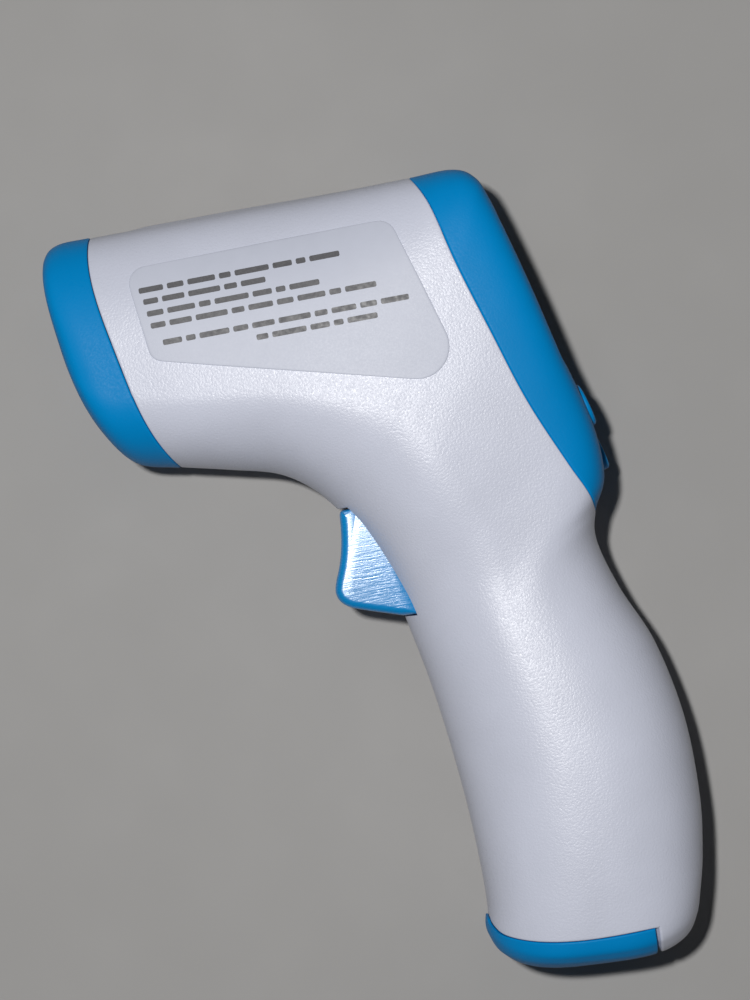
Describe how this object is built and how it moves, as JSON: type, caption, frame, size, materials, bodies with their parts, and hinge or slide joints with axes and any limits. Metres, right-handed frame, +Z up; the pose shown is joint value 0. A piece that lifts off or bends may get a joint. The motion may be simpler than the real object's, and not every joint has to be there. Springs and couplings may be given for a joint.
{
  "type": "infrared thermometer",
  "caption": "Pistol-shaped handheld infrared thermometer with a round sensor opening, a rear display with keys, a trigger and a battery door in the handle.",
  "frame": {"origin": "centre of the bounding box in X and Y, on the plane that the right side lies on", "axes": "+Z up from the right side to the left side, +Y from the handle to the top of the head, -X out of the sensor opening"},
  "size_m": [0.1042, 0.1518, 0.0409],
  "materials": {
    "shell_white": "fine spark-eroded moulded texture",
    "accent_blue": "satin moulded plastic",
    "window_smoke": "clear gloss",
    "lcd_glass": "gloss",
    "tray_white": "satin",
    "strip_pink": "matt",
    "board_green": "satin solder mask",
    "chip_black": "matt",
    "component_tan": "satin",
    "spring_steel": "drawn wire",
    "nickel": "plated",
    "sensor_black": "matt",
    "filter_dark": "coated gloss",
    "collar_aluminium": "turned",
    "cell_sleeve": "printed sleeve on a metal can",
    "holder_white": "satin",
    "wire_red": "satin",
    "wire_black": "satin",
    "wire_yellow": "satin",
    "wire_grey": "satin",
    "label_film": "satin film"
  },
  "bodies": {
    "casing": {"left_shell": "shell_white", "right_shell": "shell_white", "nose_cap": "accent_blue", "rear_bezel": "accent_blue", "display_window": "window_smoke", "lcd_panel": "lcd_glass", "lcd_tray": "tray_white", "contact_strips": "strip_pink", "main_board": "board_green", "controller_chip": "chip_black", "board_parts": "component_tan", "buzzer": "chip_black", "board_screws": "spring_steel", "key_switches": "nickel", "trigger_spring": "spring_steel", "trigger_switch": "nickel", "trigger_board": "board_green", "sensor_cone": "sensor_black", "sensor_window": "filter_dark", "sensor_can": "nickel", "sensor_collar": "collar_aluminium", "sensor_board": "board_green", "sensor_lead": "wire_grey", "battery_holder": "holder_white", "front_cell": "cell_sleeve", "rear_cell": "cell_sleeve", "upper_contacts": "nickel", "upper_spring": "spring_steel", "red_lead": "wire_red", "black_lead": "wire_black", "trigger_lead": "wire_yellow", "case_screws": "spring_steel", "rating_label": "label_film"},
    "trigger": {"trigger": "accent_blue"},
    "trigger_switch_plunger": {"trigger_plunger": "chip_black"},
    "mode_button": {"mode_key": "accent_blue", "mode_plunger": "chip_black"},
    "up_button": {"up_key": "accent_blue", "up_plunger": "chip_black"},
    "down_button": {"down_key": "accent_blue", "down_plunger": "chip_black"},
    "battery_door": {"battery_door": "accent_blue", "door_pins": "spring_steel", "door_contact": "nickel", "door_spring": "spring_steel"}
  },
  "joints": [
    {"name": "trigger_pivot", "type": "hinge", "parent": "casing", "child": "trigger", "pos_m": [-0.00093, 0.0199, 0.0203], "axis": [0, 0, 1], "range_deg": [0, 5.5], "stiffness_Nm_per_rad": 0.15, "springref_deg": -8.59, "deforming": ["trigger_spring"]},
    {"name": "trigger_switch_slide", "type": "slide", "parent": "casing", "child": "trigger_switch_plunger", "axis": [1, 0, 0], "range_m": [0, 0.00105]},
    {"name": "mode_button_slide", "type": "slide", "parent": "casing", "child": "mode_button", "axis": [-0.9655, -0.2605, 0], "range_m": [0, 0.0005], "stiffness_N_per_m": 200, "springref_m": -0.002},
    {"name": "up_button_slide", "type": "slide", "parent": "casing", "child": "up_button", "axis": [-0.9655, -0.2605, 0], "range_m": [0, 0.0005], "stiffness_N_per_m": 200, "springref_m": -0.002},
    {"name": "down_button_slide", "type": "slide", "parent": "casing", "child": "down_button", "axis": [-0.9655, -0.2605, 0], "range_m": [0, 0.0005], "stiffness_N_per_m": 200, "springref_m": -0.002},
    {"name": "battery_door_hinge", "type": "hinge", "parent": "casing", "child": "battery_door", "pos_m": [0.01417, -0.061, 0.0203], "axis": [0, 0, -1], "range_deg": [0, 45]}
  ],
  "couplings": [
    {"joint": "trigger_switch_slide", "follows": "trigger_pivot", "m_per_rad": 0.01}
  ]
}
